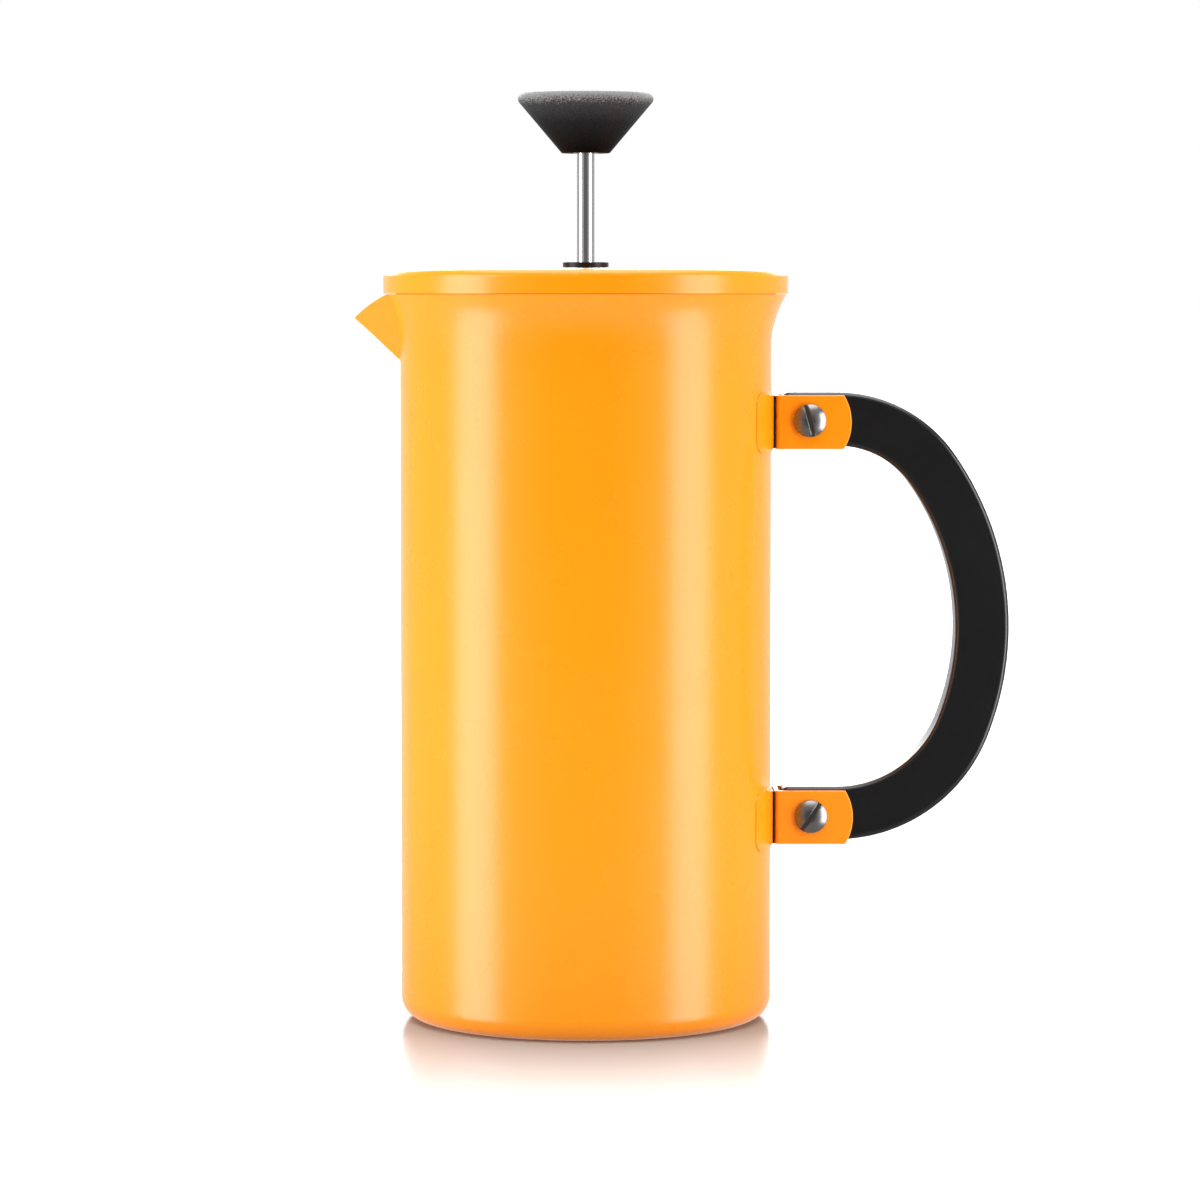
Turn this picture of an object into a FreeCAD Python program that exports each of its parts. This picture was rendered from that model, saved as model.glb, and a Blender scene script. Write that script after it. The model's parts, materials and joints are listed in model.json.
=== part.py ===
import FreeCAD, Part
import math
import os

V = FreeCAD.Vector

# Row frame: +Z up along the pot's axis, origin at the centre of its foot.
# +X points to the handle and -X to the spout. All sizes are in millimetres.

# ---- Pot ----
BODY_R = 51.5            # outer radius of the painted shell
SHELL_T = 0.8
FOOT_CORNER = 6.0        # outer radius of the rounded bottom corner
FOOT_INNER_R = 42.0      # the shell turns in under the base as far as this
FLARE_Z = 186.4          # where the collar starts to flare
FLARE_R = 29.9           # radius of the collar's hollow curve
RIM_Z = 201.45
LINER_R = 47.5           # inner radius of the brewing chamber
LINER_T = 0.6
FLOOR_Z = 8.6            # top of the chamber's floor
FLOOR_CORNER = 6.0
LINER_LIP_Z = 177.1      # where the liner turns out to meet the shell
LIP_TOP_Z = 184.1
BASE_R = 45.3
BASE_T = 0.8
BASE_DISH_R = 36.0
BASE_DISH = 1.2
DIMPLE_R = 4.0

# ---- Spout: one folded sheet, its keel running up and out from the wall ----
KEEL_FOOT = (-51.5, 182.1)       # x, z
SPOUT_TIP = (-64.6, 194.4)
SPOUT_TOP = ((-54.9, 201.3), (-60.1, 198.25), (-64.6, 194.4))
SPOUT_T = 0.8
SPOUT_HALF_ANGLE = 47.0
KEEL_R = 1.8
WINDOW_Z = (186.7, 198.5)
WINDOW_INSET = 3.0               # how far the pour window stays inside the fold

# ---- Handle and its fixings ----
HANDLE_END_X = 54.45
HANDLE_Z = {"upper": 167.0, "lower": 57.4}
HANDLE_MID = (110.0, 109.2)      # widest point of the grip's centre line, x and z
HANDLE_HALF_W = 7.45
HANDLE_HALF_T = 6.5
SHOULDER = {"upper": (32.3, 54.6), "lower": (37.6, 68.1)}   # radius, angle in degrees
END_CORNER = 1.8
HANDLE_EDGE_R = 1.5
BRACKET_Z = {"upper": 166.15, "lower": 56.4}
SCREW_Z = {"upper": 166.6, "lower": 56.7}
SCREW_X = {"upper": 61.9, "lower": 62.5}
SLOT_LEAN = {"upper": -15.5, "lower": 34.5}   # degrees from upright, towards the grip

SADDLE_T = 0.35
SADDLE_HALF = (22.0, 8.25)       # half width round the pot, half height
SADDLE_CORNER = 4.0
SEAT_HALF = (8.2, 7.4)
GASKET_T = 0.5
BRACKET_T = 1.2
BRACKET_HALF_H = 7.45
EAR_GAP = 0.1                    # between an ear and the grip
EAR_END_X = {"upper": 73.5, "lower": 74.2}
EAR_BULGE = 2.1
BEND_R = 1.4
EAR_EDGE_R = 0.35
STUD_R = 1.6
STUD_HEAD = (3.0, 0.6)           # radius, height
STUD_EDGE_R = 0.4
SCREW_R = 2.5
SCREW_CLEARANCE = 0.1
HEAD_R = 4.55
HEAD_H = 2.3
HEAD_EDGE = 0.7                  # height of the head's straight edge
SLOT_W = 1.1
SLOT_DEPTH = 1.1
NUT_H = 4.0

# ---- Lid ----
LID_R = 56.1
LID_Z = (201.6, 208.1)
LID_T = 1.0
LID_CORNER = 2.0
LID_CROWN = 0.6                  # rise of the lid's top from its edge to the bush
CROWN_BOW = 0.75                 # share of that rise reached half way in
INSERT_R = 54.8
INSERT_DISC_Z = (202.1, 204.1)
PLUG_R = (47.9, 49.5)            # inner and outer radius of the strainer wall
PLUG_Z = 187.1
BEAD_R = 50.4
BEAD_Z = (195.1, 196.2)
HUB_R = 8.0
HUB_CLEARANCE = 0.1              # between the hub and the crowned cap
RIB_COUNT = 6
RIB_T = 1.6
STRAINER_SLOTS = 7
STRAINER_PITCH = 3.2
STRAINER_W = 1.6
STRAINER_Z = (188.7, 194.3)
SEAL_Z = (196.6, 201.6)
SEAL_CLEARANCE = 0.3
SEAL_GROOVE = (0.9, 1.5, 1.6)      # inner and outer side from the seal's inner face, depth
BUSH_R = 4.5
BUSH_FLANGE = (6.35, 1.6)        # radius, height
FLANGE_EDGE_R = 0.12
BUSH_FOOT_Z = 199.6
NUT_AF = 14.0                    # nut under the lid, across flats
NUT_Z = (200.1, 202.1)

# ---- Plunger, at the height it rests ----
ROD_R = 2.45
ROD_CLEARANCE = 0.08
ROD_TOP_Z = 250.0
KNOB_Z = (240.4, 256.9)
KNOB_R = (6.65, 20.6)             # cone radius at the foot and at the sharp top corner
KNOB_EDGE_R = 1.6
KNOB_DISH = 0.35
KNOB_DISH_R = 14.0
INSERT_BUSH_R = 3.6
INSERT_TOP_Z = 250.5
FILTER_Z = 45.0                  # underside of the cross plate
PLATE_T = 0.8
MESH_T = 0.3
MESH_R = 46.9
MESH_LIP = 5.4
CROSS_R = (40.0, 44.5)
CROSS_HUB_R = 10.0
SPOKE_W = 9.0
SPOKES = 4
POST_R = 2.5
POST_TOP_Z = 53.0
SPIRAL_R = 42.6
SPIRAL_LIP = 3.2
HOLE_R = 2.3
HOLE_RINGS = ((12.5, 8), (20.5, 14), (28.5, 20), (36.0, 26))
SPRING_R = (44.75, 1.55)         # ring radius, coil radius
HUB_NUT_R = 5.5
HUB_NUT_TOP_Z = 61.0
ROD_FOOT_Z = 54.0

EPS = 0.5                        # how far a cutting tool runs past the face it cuts


def tube(r_in, r_out, z0, z1):
    """A plain ring about the pot's axis, or a disc when r_in is 0."""
    body = Part.makeCylinder(r_out, z1 - z0, V(0, 0, z0))
    if r_in:
        body = body.cut(Part.makeCylinder(r_in, z1 - z0 + 2 * EPS, V(0, 0, z0 - EPS)))
    return body


def turned(*steps):
    """A solid of revolution about Z. Each step is (r, z), or (r, z, r_mid, z_mid) for an arc."""
    edges = []
    last = V(steps[0][0], 0, steps[0][1])
    for step in steps[1:] + steps[:1]:
        point = V(step[0], 0, step[1])
        if len(step) == 4:
            middle = V(step[2], 0, step[3])
            edges.append(Part.Arc(last, middle, point).toShape())
        elif (point - last).Length > 1e-6:
            edges.append(Part.makeLine(last, point))
        last = point
    face = Part.Face(Part.Wire(edges))
    return face.revolve(V(0, 0, 0), V(0, 0, 1), 360)


def on_arc(centre, radius, degrees):
    """The (r, z) point of an arc at an angle from the +r direction."""
    turn = math.radians(degrees)
    return centre[0] + radius * math.cos(turn), centre[1] + radius * math.sin(turn)


def cross_bar(radius, x, z, y0, y1):
    """A cylinder along Y."""
    return Part.makeCylinder(radius, y1 - y0, V(x, y0, z), V(0, 1, 0))


def box(x, y, z):
    """A box from three (low, high) pairs."""
    return Part.makeBox(x[1] - x[0], y[1] - y[0], z[1] - z[0], V(x[0], y[0], z[0]))


def flare_r(z, offset=0.0):
    """Radius of the collar at height z, offset inwards from its outer face."""
    return BODY_R + FLARE_R - math.sqrt((FLARE_R + offset) ** 2 - (z - FLARE_Z) ** 2)


def flare_step(z, offset, z_from):
    """The turned() step that follows the collar's curve from z_from to z."""
    middle = (z + z_from) / 2
    return flare_r(z, offset), z, flare_r(middle, offset), middle


# ---------------------------------------------------------------- pot

def outer_shell():
    corner = (BODY_R - FOOT_CORNER, FOOT_CORNER)
    inner_corner = FOOT_CORNER - SHELL_T
    shell = turned(
        (FOOT_INNER_R, 0),
        (BODY_R - FOOT_CORNER, 0),
        (BODY_R, FOOT_CORNER) + on_arc(corner, FOOT_CORNER, -45),
        (BODY_R, FLARE_Z),
        flare_step(RIM_Z, 0, FLARE_Z),
        (flare_r(RIM_Z, SHELL_T), RIM_Z),
        flare_step(FLARE_Z, SHELL_T, RIM_Z),
        (BODY_R - SHELL_T, FOOT_CORNER),
        (corner[0], SHELL_T) + on_arc(corner, inner_corner, -45),
        (FOOT_INNER_R, SHELL_T),
    )
    return shell.cut(pour_window())


def base_plate():
    """Pressed disc that closes the bottom, resting on the shell's turned-in foot."""
    z = SHELL_T
    slope = BASE_DISH
    dimple = DIMPLE_R + slope
    return turned(
        (0, z + 2 * BASE_DISH),
        (DIMPLE_R, z + 2 * BASE_DISH),
        (dimple, z + BASE_DISH),
        (BASE_DISH_R, z + BASE_DISH),
        (BASE_DISH_R + slope, z),
        (BASE_R, z),
        (BASE_R, z + BASE_T),
        (BASE_DISH_R + slope, z + BASE_T),
        (BASE_DISH_R, z + BASE_DISH + BASE_T),
        (dimple, z + BASE_DISH + BASE_T),
        (DIMPLE_R, z + 2 * BASE_DISH + BASE_T),
        (0, z + 2 * BASE_DISH + BASE_T),
    )


def inner_liner():
    """Brewing chamber: a seamless cup whose lip turns out to the shell below the collar."""
    wall = LINER_R + LINER_T
    shell_r = BODY_R - SHELL_T
    corner = (LINER_R - FLOOR_CORNER, FLOOR_Z + FLOOR_CORNER)
    lip_in = shell_r - LINER_T
    rise = LIP_TOP_Z - LINER_LIP_Z
    out = lip_in - LINER_R
    radius = (rise ** 2 + out ** 2) / (2 * out)
    centre = (LINER_R + radius, LINER_LIP_Z)
    outer_rise = math.sqrt((radius - LINER_T) ** 2 - (centre[0] - shell_r) ** 2)
    inner_angle = 180 - math.degrees(math.asin(rise / radius)) / 2
    outer_angle = 180 - math.degrees(math.asin(outer_rise / (radius - LINER_T))) / 2
    return turned(
        (0, FLOOR_Z),
        (corner[0], FLOOR_Z),
        (LINER_R, corner[1]) + on_arc(corner, FLOOR_CORNER, -45),
        (LINER_R, LINER_LIP_Z),
        (lip_in, LIP_TOP_Z) + on_arc(centre, radius, inner_angle),
        (shell_r, LIP_TOP_Z),
        (shell_r, LINER_LIP_Z + outer_rise),
        (wall, LINER_LIP_Z) + on_arc(centre, radius - LINER_T, outer_angle),
        (wall, corner[1]),
        (corner[0], FLOOR_Z - LINER_T) + on_arc(corner, FLOOR_CORNER + LINER_T, -45),
        (0, FLOOR_Z - LINER_T),
    )


# ---------------------------------------------------------------- spout

def keel_direction():
    along = V(SPOUT_TIP[0] - KEEL_FOOT[0], 0, SPOUT_TIP[1] - KEEL_FOOT[1])
    return along.normalize()


def fold_prism(inset, hollow):
    """The V fold run along the keel, its apex moved inwards; hollow makes it a bent sheet."""
    along = keel_direction()
    up = V(along.z, 0, -along.x)
    back = 6.0
    length = 45.0
    arm = 40.0
    turn = math.radians(SPOUT_HALF_ANGLE)
    apex = V(KEEL_FOOT[0], 0, KEEL_FOOT[1]) - along * back + up * inset
    side = [up * (arm * math.cos(turn)) + V(0, s * arm * math.sin(turn), 0) for s in (1, -1)]
    corners = [apex, apex + side[0]]
    if hollow:
        lift = up * (SPOUT_T / math.sin(turn))
        corners += [apex + side[0] + lift, apex + lift, apex + side[1] + lift]
    corners.append(apex + side[1])
    face = Part.Face(Part.makePolygon(corners + corners[:1]))
    prism = face.extrude(along * length)
    if hollow:
        for point, radius in ((apex, KEEL_R), (apex + lift, KEEL_R - SPOUT_T)):
            line = Part.makeLine(point, point + along * length)
            keel = [e for e in prism.Edges if abs(e.Length - length) < 1e-3
                    and e.CenterOfMass.distanceToPoint(line.CenterOfMass) < 1e-3]
            prism = prism.makeFillet(radius, keel)
    return prism


def pour_window():
    """Opening through the collar behind the spout, inside the fold."""
    reach = box((-70, -45), (-20, 20), WINDOW_Z)
    return fold_prism(WINDOW_INSET, False).common(reach)


def pot_envelope():
    """Everything inside the outer face of the pot, up to the rim."""
    return turned(
        (0, 150),
        (BODY_R, 150),
        (BODY_R, FLARE_Z),
        flare_step(RIM_Z, 0, FLARE_Z),
        (flare_r(RIM_Z) - 1.0, RIM_Z + 1.0),
        (0, RIM_Z + 1.0),
    )


def spout():
    sheet = fold_prism(0.0, True)
    points = [V(x, -40, z) for x, z in SPOUT_TOP]
    edge = Part.Arc(*points).toShape()
    roof = [points[2], points[2] + V(-20, 0, 0), V(-85, -40, 240), V(-30, -40, 240),
            V(-30, -40, SPOUT_TOP[0][1]), points[0]]
    above = Part.Face(Part.Wire([edge] + Part.makePolygon(roof).Edges)).extrude(V(0, 80, 0))
    outside = sheet.cut(above).cut(pot_envelope())
    return max(outside.Solids, key=lambda s: s.Volume if s.BoundBox.XMax < 0 else 0)


# ---------------------------------------------------------------- handle fixings

def saddle(z):
    """Thin pad welded round the shell, with a flat seat in its middle."""
    half_w, half_h = SADDLE_HALF
    blank = box((40, BODY_R + 3), (-half_w, half_w), (z - half_h, z + half_h))
    corners = [e for e in blank.Edges if abs(e.Length - (BODY_R + 3 - 40)) < 1e-6]
    blank = blank.makeFillet(SADDLE_CORNER, corners)
    plate = tube(BODY_R, BODY_R + SADDLE_T, z - half_h - 1, z + half_h + 1).common(blank)
    seat_x = BODY_R + SADDLE_T
    half_seat = SEAT_HALF[1]
    seat = box((45, seat_x), (-SEAT_HALF[0], SEAT_HALF[0]), (z - half_seat, z + half_seat))
    seat = seat.cut(tube(0, BODY_R, z - 20, z + 20))
    pad = plate.fuse(seat).removeSplitter()
    return pad.cut(stud_hole(z))


def stud_hole(z):
    return Part.makeCylinder(STUD_R, 12, V(48, 0, z), V(1, 0, 0))


def gasket(z):
    x0 = BODY_R + SADDLE_T
    half_y, half_z = SEAT_HALF
    plate = box((x0, x0 + GASKET_T), (-half_y + 0.5, half_y - 0.5), (z - half_z + 0.2, z + half_z - 0.2))
    return plate.cut(stud_hole(z))


def bracket(which):
    """U-shaped strip: a web on the gasket and two ears with bowed ends."""
    z = BRACKET_Z[which]
    x0 = BODY_R + SADDLE_T + GASKET_T
    x2 = EAR_END_X[which]
    x1 = x2 - EAR_BULGE
    low = z - BRACKET_HALF_H
    high = z + BRACKET_HALF_H
    half_in = HANDLE_HALF_T + EAR_GAP
    half_out = half_in + BRACKET_T
    bow = Part.Arc(V(x1, -half_out, low), V(x2, -half_out, z), V(x1, -half_out, high)).toShape()
    rest = Part.makePolygon([V(x1, -half_out, high), V(x0, -half_out, high),
                             V(x0, -half_out, low), V(x1, -half_out, low)])
    block = Part.Face(Part.Wire([bow] + rest.Edges)).extrude(V(0, 2 * half_out, 0))
    bends = [e for e in block.Edges if abs(e.BoundBox.XMax - x0) < 1e-6 and e.BoundBox.ZLength > 10]
    block = block.makeFillet(BEND_R, bends)
    outline = [e for e in block.Edges if e.BoundBox.YLength < 1e-6 and e.BoundBox.XLength > 1
               and abs(e.BoundBox.YMax) > half_in]
    block = block.makeFillet(EAR_EDGE_R, outline)
    hollow = box((x0 + BRACKET_T, x2 + 5), (-half_in, half_in), (low - 1, high + 1))
    bends = [e for e in hollow.Edges
             if abs(e.BoundBox.XMax - x0 - BRACKET_T) < 1e-6 and e.BoundBox.ZLength > 10]
    hollow = hollow.makeFillet(BEND_R - BRACKET_T, bends)
    return block.cut(hollow).cut(stud_hole(z))


def screw_hole(which, radius):
    return cross_bar(radius, SCREW_X[which], SCREW_Z[which], -20, 20)


def bracket_with_hole(which):
    return bracket(which).cut(screw_hole(which, SCREW_R + SCREW_CLEARANCE))


def weld_stud(z):
    """Headed stud that holds the bracket's web against the pad."""
    web = BODY_R + SADDLE_T + GASKET_T + BRACKET_T
    shank = Part.makeCylinder(STUD_R, web - BODY_R, V(BODY_R, 0, z), V(1, 0, 0))
    head = Part.makeCylinder(STUD_HEAD[0], STUD_HEAD[1], V(web, 0, z), V(1, 0, 0))
    rim = [e for e in head.Edges if e.BoundBox.XMin > web + STUD_HEAD[1] / 2]
    return shank.fuse(head.makeFillet(STUD_EDGE_R, rim)).removeSplitter()


def domed_head(height, edge):
    """A round head on Y = 0 that rises towards -Y: a short straight edge and a shallow dome."""
    dome = height - edge
    radius = (HEAD_R ** 2 + dome ** 2) / (2 * dome)
    ball = Part.makeSphere(radius, V(0, radius - height, 0))
    return ball.common(cross_bar(HEAD_R, 0, 0, -height, 0))


def ear_face():
    return HANDLE_HALF_T + EAR_GAP + BRACKET_T


def handle_screw(which):
    """Slotted screw from the front, through both ears and the grip, into the nut behind."""
    head = domed_head(HEAD_H, HEAD_EDGE)
    slot = box((-HEAD_R - 1, HEAD_R + 1), (-HEAD_H - 1, -HEAD_H + SLOT_DEPTH), (-SLOT_W / 2, SLOT_W / 2))
    slot.rotate(V(0, 0, 0), V(0, 1, 0), SLOT_LEAN[which] - 90)
    head = head.cut(slot)
    face = ear_face()
    head.translate(V(SCREW_X[which], -face, SCREW_Z[which]))
    shank = cross_bar(SCREW_R, SCREW_X[which], SCREW_Z[which], -face, face + NUT_H - 1.5)
    return head.fuse(shank).removeSplitter()


def handle_nut(which):
    """Domed nut on the far ear."""
    nut = domed_head(NUT_H, NUT_H - HEAD_H + HEAD_EDGE)
    nut.rotate(V(0, 0, 0), V(0, 0, 1), 180)
    nut.translate(V(SCREW_X[which], ear_face(), SCREW_Z[which]))
    return nut.cut(cross_bar(SCREW_R, SCREW_X[which], SCREW_Z[which], -20, ear_face() + NUT_H - 1.5))


def grip_curve(which):
    """Centre line from one end of the grip to its widest point, as two arcs.

    Returns the end of the straight part, the radius of the back and the side (+1 upper, -1 lower).
    """
    side = 1 if which == "upper" else -1
    shoulder_r, angle = SHOULDER[which]
    turn = math.radians(angle)
    rise = side * (HANDLE_Z[which] - HANDLE_MID[1])
    back_r = (rise - shoulder_r * (1 - math.cos(turn))) / math.cos(turn)
    start_x = HANDLE_MID[0] - shoulder_r * math.sin(turn) - back_r * (1 - math.sin(turn))
    return start_x, back_r, side


def grip_edge(which, offset):
    """Edges of one outline of the grip's half, offset from its centre line, from end to middle."""
    start_x, back_r, side = grip_curve(which)
    shoulder_r, angle = SHOULDER[which]
    turn = math.radians(angle)

    def shoulder(at):
        x = start_x + (shoulder_r + offset) * math.sin(at)
        z = HANDLE_Z[which] + side * ((shoulder_r + offset) * math.cos(at) - shoulder_r)
        return V(x, -HANDLE_HALF_T, z)

    def back(at):
        x = HANDLE_MID[0] - back_r + (back_r + offset) * math.sin(at)
        z = HANDLE_MID[1] + side * (back_r + offset) * math.cos(at)
        return V(x, -HANDLE_HALF_T, z)

    inside = V(HANDLE_END_X, -HANDLE_HALF_T, HANDLE_Z[which] + side * offset)
    half = (turn + math.pi / 2) / 2
    return [
        Part.makeLine(inside, shoulder(0)),
        Part.Arc(shoulder(0), shoulder(turn / 2), shoulder(turn)).toShape(),
        Part.Arc(back(turn), back(half), back(math.pi / 2)).toShape(),
    ]


def handle():
    edges = []
    for which in ("upper", "lower"):
        for offset in (HANDLE_HALF_W, -HANDLE_HALF_W):
            edges += grip_edge(which, offset)
        edges.append(Part.makeLine(
            V(HANDLE_END_X, -HANDLE_HALF_T, HANDLE_Z[which] - HANDLE_HALF_W),
            V(HANDLE_END_X, -HANDLE_HALF_T, HANDLE_Z[which] + HANDLE_HALF_W),
        ))
    outline = Part.Wire(Part.__sortEdges__(edges))
    grip = Part.Face(outline).extrude(V(0, 2 * HANDLE_HALF_T, 0))
    ends = [e for e in grip.Edges if e.BoundBox.XMax < HANDLE_END_X + 1e-6 and e.BoundBox.YLength > 1]
    grip = grip.makeFillet(END_CORNER, ends)
    long_edges = [e for e in grip.Edges if e.BoundBox.YLength < 1e-6]
    grip = grip.makeFillet(HANDLE_EDGE_R, long_edges)
    for which in ("upper", "lower"):
        grip = grip.cut(screw_hole(which, SCREW_R + SCREW_CLEARANCE))
    return grip


# ---------------------------------------------------------------- lid

def lid_cap():
    """Pressed cap with a rounded edge and a slightly crowned top."""
    low, high = LID_Z
    corner = (LID_R - LID_CORNER, high - LID_CORNER)
    inner_corner = LID_CORNER - LID_T
    half_way = (BUSH_R + corner[0]) / 2
    bow = LID_CROWN * CROWN_BOW
    return turned(
        (BUSH_R, high + LID_CROWN),
        (corner[0], high, half_way, high + bow),
        (LID_R, corner[1]) + on_arc(corner, LID_CORNER, 45),
        (LID_R, low),
        (LID_R - LID_T, low),
        (LID_R - LID_T, corner[1]),
        (corner[0], high - LID_T) + on_arc(corner, inner_corner, 45),
        (BUSH_R, high + LID_CROWN - LID_T, half_way, high + bow - LID_T),
    )


def lid_insert():
    """Moulded insert: a disc with ribs under the cap and a plug wall with strainer slots."""
    low, high = INSERT_DISC_Z
    top = LID_Z[1] - LID_T
    hub_top = top + LID_CROWN - HUB_CLEARANCE
    body = tube(0, INSERT_R, low, high)
    body = body.fuse(tube(0, HUB_R, high, hub_top))
    body = body.fuse(tube(PLUG_R[0], PLUG_R[1], PLUG_Z, low))
    body = body.fuse(tube(PLUG_R[0], BEAD_R, *BEAD_Z))
    rib = box((HUB_R - 1, INSERT_R - 3), (-RIB_T / 2, RIB_T / 2), (high, top))
    for i in range(RIB_COUNT):
        arm = rib.copy()
        arm.rotate(V(0, 0, 0), V(0, 0, 1), 360 * i / RIB_COUNT)
        body = body.fuse(arm)
    for i in range(STRAINER_SLOTS):
        y = (i - (STRAINER_SLOTS - 1) / 2) * STRAINER_PITCH
        body = body.cut(box((-60, -35), (y - STRAINER_W / 2, y + STRAINER_W / 2), STRAINER_Z))
    body = body.cut(tube(0, BUSH_R, low - 1, hub_top + 1))
    return body.removeSplitter()


def lid_seal():
    """Soft ring between the plug's bead and the disc, shaped to the collar."""
    low, high = SEAL_Z
    inner = PLUG_R[1] + SEAL_CLEARANCE
    gap = SHELL_T + SEAL_CLEARANCE
    top = RIM_Z - 0.8
    ring = turned(
        (inner, low),
        (flare_r(low, gap), low),
        flare_step(top, gap, low),
        (flare_r(top, gap) - 1.2, high),
        (inner, high),
    )
    near, far, depth = SEAL_GROOVE
    groove = turned(
        (inner + near, low - EPS),
        (inner + far, low - EPS),
        (inner + far, low + depth),
        (inner + near, low + depth),
    )
    return ring.cut(groove)


def rod_bush():
    top = LID_Z[1] + LID_CROWN
    flange = tube(0, BUSH_FLANGE[0], top, top + BUSH_FLANGE[1])
    rim = [e for e in flange.Edges if e.BoundBox.ZMin > top + BUSH_FLANGE[1] - 1e-6]
    flange = flange.makeFillet(FLANGE_EDGE_R, rim)
    body = flange.fuse(tube(0, BUSH_R, BUSH_FOOT_Z, top))
    bore = tube(0, ROD_R + ROD_CLEARANCE, BUSH_FOOT_Z - 1, top + BUSH_FLANGE[1] + 1)
    return body.cut(bore).removeSplitter()


def bush_nut():
    low, high = NUT_Z
    corner_r = NUT_AF / math.sqrt(3)
    points = []
    for i in range(7):
        turn = math.radians(60 * i)
        points.append(V(corner_r * math.cos(turn), corner_r * math.sin(turn), low))
    hexagon = Part.Face(Part.makePolygon(points)).extrude(V(0, 0, high - low))
    return hexagon.cut(tube(0, BUSH_R, low - 1, high + 1))


# ---------------------------------------------------------------- plunger

def knob():
    low, high = KNOB_Z
    body = turned(
        (0, low),
        (KNOB_R[0], low),
        (KNOB_R[1], high),
        (KNOB_DISH_R, high),
        (KNOB_DISH_R - 1.5, high - KNOB_DISH),
        (0, high - KNOB_DISH),
    )
    rim = [e for e in body.Edges if abs(e.BoundBox.XMax - KNOB_R[1]) < 0.01]
    body = body.makeFillet(KNOB_EDGE_R, rim)
    foot = [e for e in body.Edges if e.BoundBox.ZMax < low + 0.01 and e.BoundBox.XMax > KNOB_R[0] - 0.1]
    body = body.makeFillet(0.4, foot)
    return body.cut(tube(0, INSERT_BUSH_R, low - 1, INSERT_TOP_Z))


def knob_bush():
    return tube(0, INSERT_BUSH_R, KNOB_Z[0], INSERT_TOP_Z).cut(tube(0, ROD_R, KNOB_Z[0] - 1, ROD_TOP_Z))


def rod():
    body = tube(0, ROD_R, ROD_FOOT_Z, ROD_TOP_Z)
    ends = [e for e in body.Edges if e.BoundBox.ZLength < 1e-6]
    return body.makeChamfer(0.4, ends)


def cross_plate():
    """Bottom plate: rim, hub and four broad spokes, with the threaded post that clamps the stack."""
    z = FILTER_Z
    plate = tube(CROSS_R[0], CROSS_R[1], z, z + PLATE_T)
    plate = plate.fuse(tube(0, CROSS_HUB_R, z, z + PLATE_T))
    spoke = box((0, CROSS_R[0] + 1), (-SPOKE_W / 2, SPOKE_W / 2), (z, z + PLATE_T))
    for i in range(SPOKES):
        arm = spoke.copy()
        arm.rotate(V(0, 0, 0), V(0, 0, 1), 360 * i / SPOKES)
        plate = plate.fuse(arm)
    plate = plate.fuse(tube(0, POST_R, z + PLATE_T, POST_TOP_Z))
    return plate.removeSplitter()


def mesh_screen():
    """Fine woven screen with its edge turned up against the wall, here as a thin solid sheet."""
    z = FILTER_Z + PLATE_T
    disc = tube(POST_R, MESH_R, z, z + MESH_T)
    lip = tube(MESH_R - MESH_T, MESH_R, z + MESH_T, z + MESH_LIP)
    return disc.fuse(lip).removeSplitter()


def spiral_plate():
    """Perforated plate that presses the screen down; its raised edge carries the edge spring."""
    z = FILTER_Z + PLATE_T + MESH_T
    plate = tube(POST_R, SPIRAL_R, z, z + PLATE_T)
    plate = plate.fuse(tube(SPIRAL_R - PLATE_T, SPIRAL_R, z + PLATE_T, z + SPIRAL_LIP))
    holes = []
    for radius, count in HOLE_RINGS:
        for i in range(count):
            turn = 2 * math.pi * i / count
            centre = V(radius * math.cos(turn), radius * math.sin(turn), z - EPS)
            holes.append(Part.makeCylinder(HOLE_R, PLATE_T + 2 * EPS, centre))
    return plate.cut(Part.makeCompound(holes)).removeSplitter()


def edge_spring():
    """Envelope of the close-wound spring that runs round the plate's edge."""
    ring_r, coil_r = SPRING_R
    z = FILTER_Z + PLATE_T + MESH_T + coil_r + 0.3
    return Part.makeTorus(ring_r, coil_r, V(0, 0, z))


def hub_nut():
    """Joins the rod's foot to the post of the cross plate."""
    low = FILTER_Z + 2 * PLATE_T + MESH_T
    body = tube(0, HUB_NUT_R, low, HUB_NUT_TOP_Z)
    rims = [e for e in body.Edges if e.BoundBox.ZLength < 1e-6]
    body = body.makeChamfer(0.6, rims)
    body = body.cut(tube(0, POST_R, low - 1, POST_TOP_Z))
    return body.cut(tube(0, ROD_R + ROD_CLEARANCE, ROD_FOOT_Z - 0.3, HUB_NUT_TOP_Z + 1))


def parts():
    made = {
        "outer_shell": outer_shell(),
        "inner_liner": inner_liner(),
        "base_plate": base_plate(),
        "spout": spout(),
        "handle": handle(),
        "lid_cap": lid_cap(),
        "lid_insert": lid_insert(),
        "lid_seal": lid_seal(),
        "rod_bush": rod_bush(),
        "bush_nut": bush_nut(),
        "knob": knob(),
        "knob_bush": knob_bush(),
        "plunger_rod": rod(),
        "hub_nut": hub_nut(),
        "spiral_plate": spiral_plate(),
        "edge_spring": edge_spring(),
        "mesh_screen": mesh_screen(),
        "cross_plate": cross_plate(),
    }
    for which in ("upper", "lower"):
        z = BRACKET_Z[which]
        made[which + "_saddle"] = saddle(z)
        made[which + "_gasket"] = gasket(z)
        made[which + "_bracket"] = bracket_with_hole(which)
        made[which + "_weld_stud"] = weld_stud(z)
        made[which + "_handle_screw"] = handle_screw(which)
        made[which + "_handle_nut"] = handle_nut(which)
    return made


def main():
    os.makedirs("parts", exist_ok=True)
    for name, shape in sorted(parts().items()):
        solids = shape.Solids
        good = all(s.isValid() and s.Volume > 0 for s in solids)
        print(f"{name:20s} solids {len(solids)} valid {good} volume {shape.Volume:10.1f}")
        keep = solids[0] if len(solids) == 1 else Part.makeCompound(solids)
        keep.exportStep(f"parts/{name}.step")


main()
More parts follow.
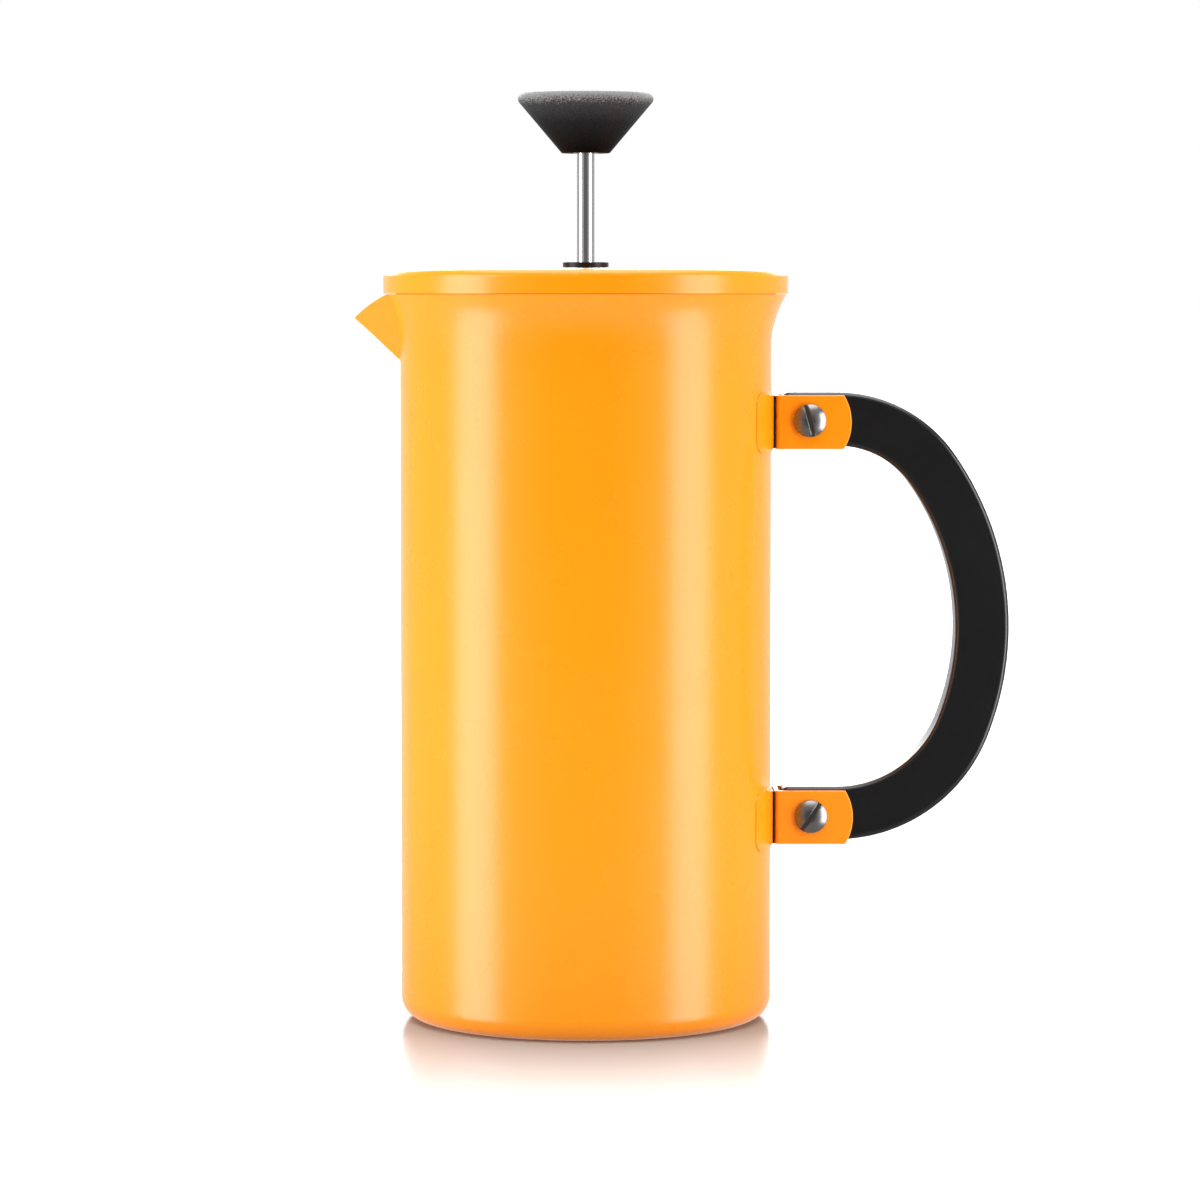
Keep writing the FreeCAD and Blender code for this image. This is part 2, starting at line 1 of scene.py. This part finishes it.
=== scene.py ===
import bpy
import json
import math
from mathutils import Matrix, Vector

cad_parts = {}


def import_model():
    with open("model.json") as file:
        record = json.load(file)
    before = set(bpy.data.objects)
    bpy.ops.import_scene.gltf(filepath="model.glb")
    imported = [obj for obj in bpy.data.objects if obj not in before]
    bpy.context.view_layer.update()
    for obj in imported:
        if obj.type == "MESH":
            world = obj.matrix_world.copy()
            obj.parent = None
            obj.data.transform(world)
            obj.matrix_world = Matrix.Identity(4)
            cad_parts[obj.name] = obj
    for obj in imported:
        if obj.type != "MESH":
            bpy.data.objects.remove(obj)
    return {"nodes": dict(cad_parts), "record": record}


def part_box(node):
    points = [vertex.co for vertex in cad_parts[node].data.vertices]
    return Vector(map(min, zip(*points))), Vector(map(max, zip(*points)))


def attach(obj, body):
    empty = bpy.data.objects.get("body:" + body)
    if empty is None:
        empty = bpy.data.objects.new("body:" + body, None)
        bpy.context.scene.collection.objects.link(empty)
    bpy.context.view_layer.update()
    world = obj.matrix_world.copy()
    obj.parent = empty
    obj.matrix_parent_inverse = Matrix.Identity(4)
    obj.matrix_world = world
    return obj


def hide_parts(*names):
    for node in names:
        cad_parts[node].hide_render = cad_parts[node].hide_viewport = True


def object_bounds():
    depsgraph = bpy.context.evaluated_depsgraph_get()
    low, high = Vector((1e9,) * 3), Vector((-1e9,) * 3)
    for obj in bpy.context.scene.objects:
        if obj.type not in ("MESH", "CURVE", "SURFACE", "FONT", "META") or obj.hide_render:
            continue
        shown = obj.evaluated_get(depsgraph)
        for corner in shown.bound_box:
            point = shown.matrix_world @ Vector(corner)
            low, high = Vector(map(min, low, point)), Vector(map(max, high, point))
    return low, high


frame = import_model()
CAD_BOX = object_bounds()

MM = 0.001
NODES = frame["nodes"]

# Studio. The camera looks along +Y from eye level with the rim of the pot.
EYE = Vector((0.00395, -1.3, 0.2015))
AIM = Vector((0.00395, 0.0, 0.11645))
LENS = 140.3
SENSOR = 36.0
CLIP_END = 30.0
ABOVE = 5.0            # brightness of the softbox overhead
FRONT = (0.04, 0.16)   # brightness of the room behind the camera, as light and in glossy surfaces
SIDES = (0.04, 0.56)   # brightness of the side walls, as light and in glossy surfaces
BACKDROP = (0.9, 7.0)  # brightness of the backdrop in glossy surfaces, low down and higher up
# Where one tone of the surroundings fades into the next, as the Y or Z of a direction.
FRONT_EDGE = (-0.965, -0.84)
BACK_EDGE = (0.6, 0.95)
HIGH_EDGE = (0.09, 0.14)
TOP_EDGE = (0.7, 0.92)
FLOOR_SIZE = 60.0
FLOOR_FRONT = -0.45          # nearest edge of the floor
# The floor's darker tone close to the pot is a painted contact shadow.
FLOOR_SHADOW_RING = (0.055, 0.45)   # distances from the pot over which the floor's tone changes
LIT_POINT = (0.0, 0.0, 0.11)   # what the two strips point at
# place, width, height, power
STRIPS = {
    "left_strip": ((-0.75, -0.275, 0.11), 0.40, 0.9, 7.9),
    "right_strip": ((0.73, -0.33, 0.11), 0.38, 0.9, 6.8),
}

# Wound wire, woven screen and slotted screws.
WIRE_R = 0.32 * MM
WIRE_SPACING = 2.15            # between neighbouring turns, in wire radii
WIRE_STEPS = 8                 # outlines along one turn of the coil
WIRE_SIDES = 5
SCREEN_T = 0.28 * MM
SCREEN_BEND_R = 1.2 * MM
PLEAT_DEPTH = 0.22 * MM
PLEATS = 60
PLEAT_DRIFT = 0.8              # how far the pleats stray from even spacing, in radians
DRIFT_WAVES = 7
SCREEN_STEPS = 480             # outlines round the screen
SCREW_RISE = 2.3 * MM
SCREW_WALL = 0.7 * MM          # height of the head's straight edge
SLOT_HALF_W = 0.58 * MM
SLOT_DEPTH = 1.1 * MM
SLOT_BEVEL = 0.16 * MM
SLOT_LEAN = {"upper": -15.5, "lower": 34.5}   # degrees from upright
SLOT_LINES = (1.0, 0.6, 0.3, 0.1, 0.0)        # lines across the slot's bevel, from its outer edge
SCREW_LINES = 12               # lines between the slot and the side of the head
SCREW_STEPS = 40
SHANK_SIDES = 32
SHANK_SHARE = 0.55             # of the head's radius
JUST_INSIDE = 0.999
SHARP_ANGLE = 50


# ---------------------------------------------------------------- materials

class Shader:
    """A Principled material under construction."""

    def __init__(self, name, **settings):
        self.material = bpy.data.materials.new(name)
        self.material.use_nodes = True
        self.tree = self.material.node_tree
        self.bsdf = self.tree.nodes["Principled BSDF"]
        for socket, value in settings.items():
            self.bsdf.inputs[socket.replace("_", " ")].default_value = value

    def node(self, kind, inputs=(), **settings):
        made = self.tree.nodes.new(kind)
        for key, value in settings.items():
            setattr(made, key, value)
        for key, value in dict(inputs).items():
            if isinstance(value, bpy.types.NodeSocket):
                self.tree.links.new(value, made.inputs[key])
            else:
                made.inputs[key].default_value = value
        return made

    def math(self, operation, a, b=0.0):
        return self.node("ShaderNodeMath", {0: a, 1: b}, operation=operation).outputs[0]

    def place(self):
        return self.node("ShaderNodeTexCoord").outputs["Object"]

    def stretched(self, vector, scale):
        return self.node("ShaderNodeVectorMath", {0: vector, 1: scale}, operation="MULTIPLY").outputs[0]

    def noise(self, vector, scale, detail=2.0, roughness=0.5):
        made = self.node("ShaderNodeTexNoise",
                         {"Vector": vector, "Scale": scale, "Detail": detail, "Roughness": roughness})
        return made.outputs["Fac"]

    def ranged(self, value, low, high, to_low, to_high):
        made = self.node("ShaderNodeMapRange", {0: value, 1: low, 2: high, 3: to_low, 4: to_high})
        return made.outputs[0]

    def ramp(self, value, *stops):
        made = self.node("ShaderNodeValToRGB", {"Fac": value})
        elements = made.color_ramp.elements
        while len(elements) < len(stops):
            elements.new(0.5)
        for element, (position, colour) in zip(elements, stops):
            element.position = position
            element.color = (*colour, 1.0)
        return made.outputs["Color"]

    def bump(self, height, distance, strength=1.0, normal=None):
        inputs = {"Height": height, "Distance": distance, "Strength": strength}
        if normal is not None:
            inputs["Normal"] = normal
        return self.node("ShaderNodeBump", inputs).outputs["Normal"]

    def soft_edge(self, radius):
        """Normal that rounds the sharp edges a little."""
        return self.node("ShaderNodeBevel", {"Radius": radius}).outputs["Normal"]

    def into(self, **sockets):
        for socket, output in sockets.items():
            self.tree.links.new(output, self.bsdf.inputs[socket.replace("_", " ")])
        return self.material

    def round_the_axis(self, vector, turns, rise):
        """Coordinates for marks that run round the axis: slow in angle, fine in height and radius."""
        parts = self.node("ShaderNodeSeparateXYZ", {0: vector})
        x, y, z = parts.outputs
        angle = self.math("ARCTAN2", y, x)
        squares = self.math("ADD", self.math("MULTIPLY", x, x), self.math("MULTIPLY", y, y))
        radius = self.math("SQRT", squares)
        made = self.node("ShaderNodeCombineXYZ", {
            0: self.math("MULTIPLY", angle, turns),
            1: self.math("MULTIPLY", radius, rise),
            2: self.math("MULTIPLY", z, rise),
        })
        return made.outputs[0]


def paint():
    """Satin orange lacquer over steel, with a faint orange-peel surface."""
    s = Shader("orange_lacquer", Roughness=0.27, IOR=1.45)
    at = s.place()
    cloud = s.noise(at, 9.0, 3.0)
    colour = s.ramp(cloud, (0.3, (0.93, 0.270, 0.0018)), (0.7, (0.95, 0.283, 0.0024)))
    peel = s.noise(at, 900.0, 2.0)
    dust = s.noise(at, 45.0, 4.0, 0.6)
    rough = s.ranged(dust, 0.3, 0.7, 0.25, 0.29)
    return s.into(Base_Color=colour, Roughness=rough, Normal=s.bump(peel, 0.00002, 0.5))


def brushed(name, colour, rough, turns=2.0, rise=1500.0):
    """Metal polished round the axis. turns and rise set how fine the marks are in angle and in height."""
    s = Shader(name, Metallic=1.0, Roughness=rough)
    lines = s.noise(s.round_the_axis(s.place(), turns, rise), 1.0, 4.0, 0.6)
    tone = s.ramp(lines, (0.25, tuple(0.9 * c for c in colour)), (0.75, colour))
    return s.into(Base_Color=tone, Roughness=s.ranged(lines, 0.3, 0.7, rough * 0.8, rough * 1.25),
                  Normal=s.bump(lines, 0.000012, 0.6))


def plastic(name, colour, rough, grain, depth, level=0.5):
    """Moulded black plastic. grain is how many grains there are per metre, level is how much it shines."""
    s = Shader(name, Roughness=rough, IOR=1.49, Specular_IOR_Level=level)
    at = s.place()
    grains = s.noise(at, grain, 3.0, 0.65)
    cloud = s.noise(at, 60.0, 3.0)
    tone = s.ramp(cloud, (0.3, colour), (0.7, tuple(1.15 * c for c in colour)))
    return s.into(Base_Color=tone, Roughness=s.ranged(cloud, 0.3, 0.7, rough * 0.93, rough * 1.08),
                  Normal=s.bump(grains, depth, 0.7))


def knob_plastic():
    """Grained black plastic with painted light: paler towards the top rim as a painted top light and rim
    highlight, darker and slightly bluish low down as painted shade that also offsets the lid's orange
    reflection.
    """
    low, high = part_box("knob")
    s = Shader("knob_plastic", Roughness=0.5, IOR=1.49, Specular_IOR_Level=0.03)
    at = s.place()
    grains = s.noise(at, 2200.0, 3.0, 0.65)
    height = s.node("ShaderNodeSeparateXYZ", {0: at}).outputs["Z"]
    rise = s.ranged(height, low[2], high[2], 0.0, 0.9)
    painted_top_light = s.math("ADD", rise, s.ranged(grains, 0.3, 0.7, -0.08, 0.08))
    # Painted light by height, mottled by the grain: a painted highlight at the top rim and painted shade
    # lower on the cone.
    tone = s.ramp(painted_top_light, (0.05, (0.0012, 0.0024, 0.0034)), (0.45, (0.0090, 0.0135, 0.0170)),
                  (0.74, (0.034, 0.043, 0.050)), (0.84, (0.23, 0.23, 0.23)))
    return s.into(Base_Color=tone, Normal=s.bump(grains, 0.00012, 0.7))


def rubber(name):
    s = Shader(name, Roughness=0.7, IOR=1.45, Specular_IOR_Level=0.2)
    grains = s.noise(s.place(), 3500.0, 3.0)
    tone = s.ramp(grains, (0.3, (0.004, 0.004, 0.004)), (0.7, (0.008, 0.008, 0.008)))
    return s.into(Base_Color=tone, Normal=s.bump(grains, 0.00002, 0.5))


def bright(name, rough, colour, depth, edge):
    """Polished steel with hair-fine scratches. edge is how far its sharp edges look rounded."""
    s = Shader(name, Metallic=1.0, Roughness=rough)
    at = s.place()
    hairs = s.noise(s.stretched(at, (2500.0, 2500.0, 60.0)), 1.0, 3.0, 0.6)
    cloud = s.noise(at, 220.0, 2.0)
    tone = s.ramp(hairs, (0.2, tuple(0.88 * c for c in colour)), (0.8, colour))
    return s.into(Base_Color=tone, Roughness=s.ranged(cloud, 0.3, 0.7, rough * 0.85, rough * 1.15),
                  Normal=s.bump(hairs, depth, 0.4, s.soft_edge(edge) if edge else None))


def woven(name, pitch):
    """Fine woven steel screen. pitch is the distance between wires in metres."""
    s = Shader(name, Metallic=1.0, Roughness=0.35)
    x, y, z = s.node("ShaderNodeSeparateXYZ", {0: s.place()}).outputs
    spin = 2 * math.pi / pitch
    warp = s.math("SINE", s.math("MULTIPLY", x, spin))
    weft = s.math("SINE", s.math("MULTIPLY", y, spin))
    rise = s.math("SINE", s.math("MULTIPLY", z, spin))
    cloth = s.math("ADD", s.math("MULTIPLY", warp, weft), rise)
    tone = s.ramp(cloth, (0.0, (0.22, 0.22, 0.21)), (0.6, (0.62, 0.61, 0.59)))
    return s.into(Base_Color=tone, Normal=s.bump(cloth, 0.00008, 0.8))


def make_materials():
    black = (0.0055, 0.0055, 0.0058)
    return {
        "painted_shell": paint(),
        "liner_steel": brushed("liner_steel", (0.62, 0.61, 0.59), 0.28),
        "grip_plastic": plastic("grip_plastic", black, 0.24, 2600.0, 0.000006),
        "knob_plastic": knob_plastic(),
        "bush_plastic": plastic("bush_plastic", (0.006, 0.006, 0.006), 0.38, 1500.0, 0.000004, 0.3),
        "insert_plastic": plastic("insert_plastic", (0.016, 0.016, 0.017), 0.5, 2500.0, 0.00005),
        "seal_rubber": rubber("seal_rubber"),
        "bright_steel": bright("bright_steel", 0.12, (0.68, 0.68, 0.69), 0.0000001, 0.0),
        # The screw steel is far darker than the bright steel: painted shade on the screw heads.
        "screw_steel": bright("screw_steel", 0.28, (0.21, 0.205, 0.20), 0.000001, 0.0003),
        "filter_steel": brushed("filter_steel", (0.66, 0.65, 0.63), 0.24, turns=3.0, rise=2500.0),
        "filter_mesh": woven("filter_mesh", 0.6 * MM),
        "bush_brass": brushed("bush_brass", (0.75, 0.52, 0.20), 0.25),
    }


OWN_FINISH = {
    "knob": "knob_plastic",
    "upper_handle_screw": "screw_steel",
    "lower_handle_screw": "screw_steel",
}


def dress(materials):
    """Gives every CAD node the finish of its slot."""
    for part in frame["record"]["subparts"]:
        node = NODES[part["node"]]
        finish = OWN_FINISH.get(part["node"], part["material_slot"])
        for place in node.material_slots:
            place.link = "OBJECT"
            place.material = materials[finish]


# ---------------------------------------------------------------- finer pieces

def piece(name, points, faces, body, node, finish):
    """A mesh that takes the place of one CAD node and moves with its body."""
    mesh = bpy.data.meshes.new(name)
    mesh.from_pydata([tuple(p) for p in points], [], faces)
    mesh.validate()
    for face in mesh.polygons:
        face.use_smooth = True
    made = bpy.data.objects.new(name, mesh)
    bpy.context.scene.collection.objects.link(made)
    mesh.materials.append(finish)
    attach(made, body)
    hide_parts(node)
    return made


def ring_faces(around, size):
    """Faces between closed outlines of size points that follow each other round a ring."""
    faces = []
    for i in range(around):
        here, there = i * size, (i + 1) % around * size
        for k in range(size):
            m = (k + 1) % size
            faces.append((here + k, there + k, there + m, here + m))
    return faces


def wound_ring(count, sides, centre, normal, other):
    """Points and faces of a wire along a closed path. The three functions take a share from 0 to 1."""
    points = []
    for i in range(count):
        at = i / count
        for k in range(sides):
            turn = 2 * math.pi * k / sides
            spoke = math.cos(turn) * normal(at) + math.sin(turn) * other(at)
            points.append(centre(at) + WIRE_R * spoke)
    return points, ring_faces(count, sides)


def coil_spring(materials):
    """The close-wound spring round the edge of the spiral plate."""
    low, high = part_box("edge_spring")
    coil_r = (high[2] - low[2]) / 2
    ring_r = high[0] - coil_r
    middle = (high[2] + low[2]) / 2
    coil_r -= WIRE_R
    turns = round(2 * math.pi * ring_r / (WIRE_SPACING * WIRE_R))

    def outward(at):
        return Vector((math.cos(2 * math.pi * at), math.sin(2 * math.pi * at), 0))

    def normal(at):
        turn = 2 * math.pi * turns * at
        return math.cos(turn) * outward(at) + math.sin(turn) * Vector((0, 0, 1))

    def centre(at):
        return ring_r * outward(at) + Vector((0, 0, middle)) + coil_r * normal(at)

    def other(at):
        return Vector((-math.sin(2 * math.pi * at), math.cos(2 * math.pi * at), 0))

    points, faces = wound_ring(turns * WIRE_STEPS, WIRE_SIDES, centre, normal, other)
    piece("spring_coil", points, faces, "filter", "edge_spring", materials["filter_steel"])


def pleated_screen(materials):
    """Woven screen: a flat disc whose edge is turned up and falls into small pleats."""
    low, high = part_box("mesh_screen")
    edge_r = high[0]
    rise = high[2] - low[2]
    hole_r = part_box("hub_nut")[1][0] * 0.5
    wall_r = edge_r - PLEAT_DEPTH
    # Radius, height and share of the pleats' depth, from the hole outwards and up.
    outer = [(hole_r, 0.0, 0.0), (edge_r * 0.5, 0.0, 0.0), (wall_r - SCREEN_BEND_R, 0.0, 0.1)]
    for turn in (math.pi / 6, math.pi / 3, math.pi / 2):
        inset = SCREEN_BEND_R * (1 - math.sin(turn))
        outer.append((wall_r - inset, SCREEN_BEND_R * (1 - math.cos(turn)), 0.5))
    outer += [(wall_r, rise * part, 1.0) for part in (0.5, 0.8, 1.0)]
    inner = []
    for r, z, share in reversed(outer):
        inner.append((r - SCREEN_T if z > 0 else r, max(z, SCREEN_T), share))
    outline = outer + inner
    points = []
    for i in range(SCREEN_STEPS):
        turn = 2 * math.pi * i / SCREEN_STEPS
        wave = PLEAT_DEPTH * math.sin(PLEATS * turn + PLEAT_DRIFT * math.sin(DRIFT_WAVES * turn))
        for r, z, share in outline:
            radius = r + wave * share
            points.append((radius * math.cos(turn), radius * math.sin(turn), low[2] + z))
    faces = ring_faces(SCREEN_STEPS, len(outline))
    piece("screen_pleated", points, faces, "filter", "mesh_screen", materials["filter_mesh"])


def slotted_screw(which, materials):
    """Round-head screw with a slot that has softly broken edges."""
    node = which + "_handle_screw"
    low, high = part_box(node)
    head_r = (high[2] - low[2]) / 2
    centre = Vector(((high[0] + low[0]) / 2, low[1], (high[2] + low[2]) / 2))
    dome = SCREW_RISE - SCREW_WALL
    dome_r = (head_r ** 2 + dome ** 2) / (2 * dome)
    shank_r = head_r * SHANK_SHARE
    bevel_end = SLOT_HALF_W + SLOT_BEVEL
    turn = math.radians(SLOT_LEAN[which])
    along = Vector((math.sin(turn), 0, math.cos(turn)))
    across = Vector((math.cos(turn), 0, -math.sin(turn)))

    def height(u, v):
        r2 = min(u * u + v * v, head_r ** 2)
        top = math.sqrt(dome_r ** 2 - r2) - dome_r + SCREW_RISE
        side = abs(v)
        if side <= SLOT_HALF_W:
            return SCREW_RISE - SLOT_DEPTH
        into_bevel = bevel_end - side
        if into_bevel > 0:
            return min(top, top - SLOT_BEVEL + math.sqrt(SLOT_BEVEL ** 2 - into_bevel ** 2))
        return top

    # Lines along the slot, from one side of the head to the other, closer together at its edges.
    half = [SLOT_HALF_W + SLOT_BEVEL * share for share in SLOT_LINES]
    reach_out = head_r * JUST_INSIDE - bevel_end
    outer = [bevel_end + reach_out * math.sin(math.pi / 2 * i / SCREW_LINES)
             for i in range(SCREW_LINES, 0, -1)]
    floor_lines = [-SLOT_HALF_W * JUST_INSIDE, 0.0, SLOT_HALF_W * JUST_INSIDE]
    lines = [-v for v in outer + half] + floor_lines + half[::-1] + outer[::-1]
    foot = Vector((0, SCREW_RISE, 0))
    points, faces = [], []
    for v in lines:
        reach = math.sqrt(max(head_r ** 2 - v * v, 0))
        points.append(centre + v * across - reach * along + foot)
        for i in range(SCREW_STEPS + 1):
            u = -reach * math.cos(math.pi * i / SCREW_STEPS)
            points.append(centre + v * across + u * along + foot - Vector((0, height(u, v), 0)))
        points.append(centre + v * across + reach * along + foot)
    width = SCREW_STEPS + 3
    for j in range(len(lines) - 1):
        for i in range(width - 1):
            a = j * width + i
            faces.append((a, a + 1, a + width + 1, a + width))
        here, there = j * width, (j + 1) * width
        faces.append((here + width - 1, here, there, there + width - 1))
    first = len(points)
    sides = SHANK_SIDES
    for y in (low[1] + SCREW_RISE, high[1]):
        for k in range(sides):
            angle = 2 * math.pi * k / sides
            spoke = shank_r * Vector((math.cos(angle), 0, math.sin(angle)))
            points.append(Vector((centre[0], y, centre[2])) + spoke)
    for k in range(sides):
        m = (k + 1) % sides
        faces.append((first + k, first + m, first + sides + m, first + sides + k))
    faces.append(tuple(first + sides + k for k in range(sides)))
    faces.append(tuple(first + k for k in reversed(range(sides))))
    made = piece(which + "_screw_slotted", points, faces, "pot", node, materials["screw_steel"])
    made.data.set_sharp_from_angle(angle=math.radians(SHARP_ANGLE))


def finer_pieces(materials):
    coil_spring(materials)
    pleated_screen(materials)
    for which in SLOT_LEAN:
        slotted_screw(which, materials)


# ---------------------------------------------------------------- studio

def floor(low):
    """A pale table top that runs far back to the backdrop and ends a little in front of the frame. Its
    colour is darker close to the pot as a painted contact shadow.
    """
    bpy.ops.mesh.primitive_plane_add(size=FLOOR_SIZE, location=(0, FLOOR_SIZE / 2 + FLOOR_FRONT, low))
    plane = bpy.context.object
    plane.name = "floor"
    s = Shader("floor_white", Roughness=0.2, IOR=1.08)
    at = s.place()
    away = s.node("ShaderNodeVectorMath", {0: at, 1: tuple(-c for c in plane.location)},
                  operation="DISTANCE").outputs["Value"]
    cloud = s.ranged(s.noise(at, 3.0, 2.0), 0.3, 0.7, -0.02, 0.02)
    ring = s.math("ADD", s.ranged(away, *FLOOR_SHADOW_RING, 0.0, 1.0), cloud)
    # Painted contact shadow: dark near the pot, pale further out, slightly greyer far off.
    tone = s.ramp(ring, (0.0, (0.31, 0.305, 0.285)), (0.32, (0.80, 0.80, 0.80)),
                  (0.5, (0.80, 0.80, 0.80)), (0.8, (0.70, 0.70, 0.70)))
    plane.data.materials.append(s.into(Base_Color=tone))
    plane.visible_glossy = False
    plane.visible_shadow = False


def softbox(name, place, width, height, power):
    data = bpy.data.lights.new(name, "AREA")
    data.shape = "RECTANGLE"
    data.size = width
    data.size_y = height
    data.energy = power
    lamp = bpy.data.objects.new(name, data)
    lamp.location = place
    lamp.rotation_euler = (Vector(LIT_POINT) - Vector(place)).to_track_quat("-Z", "Y").to_euler()
    lamp.visible_camera = False
    bpy.context.scene.collection.objects.link(lamp)


def world():
    """White for the camera. Glossy surfaces see a bright back and top, grey sides and a dark front."""
    made = bpy.data.worlds.new("studio")
    bpy.context.scene.world = made
    made.use_nodes = True
    nodes, links = made.node_tree.nodes, made.node_tree.links

    def fade(source, edges, levels):
        step = nodes.new("ShaderNodeMapRange")
        step.interpolation_type = "SMOOTHSTEP"
        links.new(source, step.inputs[0])
        for index, value in enumerate((*edges, *levels)):
            step.inputs[index + 1].default_value = value
        return step.outputs[0]

    def combined(operation, a, b):
        pick = nodes.new("ShaderNodeMath")
        pick.operation = operation
        links.new(a, pick.inputs[0])
        links.new(b, pick.inputs[1])
        return pick.outputs[0]

    def brighter(a, b):
        return combined("MAXIMUM", a, b)

    def times(a, b):
        return combined("MULTIPLY", a, b)

    def opposite(a):
        return fade(a, (0.0, 1.0), (1.0, 0.0))

    where = nodes.new("ShaderNodeTexCoord").outputs["Generated"]
    split = nodes.new("ShaderNodeSeparateXYZ")
    links.new(where, split.inputs[0])
    path = nodes.new("ShaderNodeLightPath").outputs
    gloss = path["Is Glossy Ray"]
    walls = fade(gloss, (0.0, 1.0), SIDES)
    front = fade(gloss, (0.0, 1.0), FRONT)
    sides = brighter(times(fade(split.outputs["Y"], FRONT_EDGE, (0.0, 1.0)), walls), front)
    backdrop = brighter(times(fade(split.outputs["Z"], HIGH_EDGE, BACKDROP), gloss), opposite(gloss))
    behind = times(fade(split.outputs["Y"], BACK_EDGE, (0.0, 1.0)), backdrop)
    above = fade(split.outputs["Z"], TOP_EDGE, (0.0, ABOVE))
    level = brighter(brighter(sides, behind), above)
    seen = path["Is Camera Ray"]
    links.new(brighter(times(level, opposite(seen)), seen), nodes["Background"].inputs["Strength"])
    nodes["Background"].inputs["Color"].default_value = (1.0, 1.0, 1.0, 1.0)


def camera():
    data = bpy.data.cameras.new("camera")
    data.lens = LENS
    data.sensor_width = SENSOR
    data.clip_end = CLIP_END
    made = bpy.data.objects.new("camera", data)
    made.location = EYE
    made.rotation_euler = (AIM - EYE).to_track_quat("-Z", "Y").to_euler()
    bpy.context.scene.collection.objects.link(made)
    bpy.context.scene.camera = made


def studio():
    floor(CAD_BOX[0][2])
    for name, (place, width, height, power) in STRIPS.items():
        softbox(name, place, width, height, power)
    world()
    camera()
    scene = bpy.context.scene
    scene.view_settings.view_transform = "Standard"
    scene.cycles.use_denoising = True


FINISHES = make_materials()
dress(FINISHES)
finer_pieces(FINISHES)
studio()
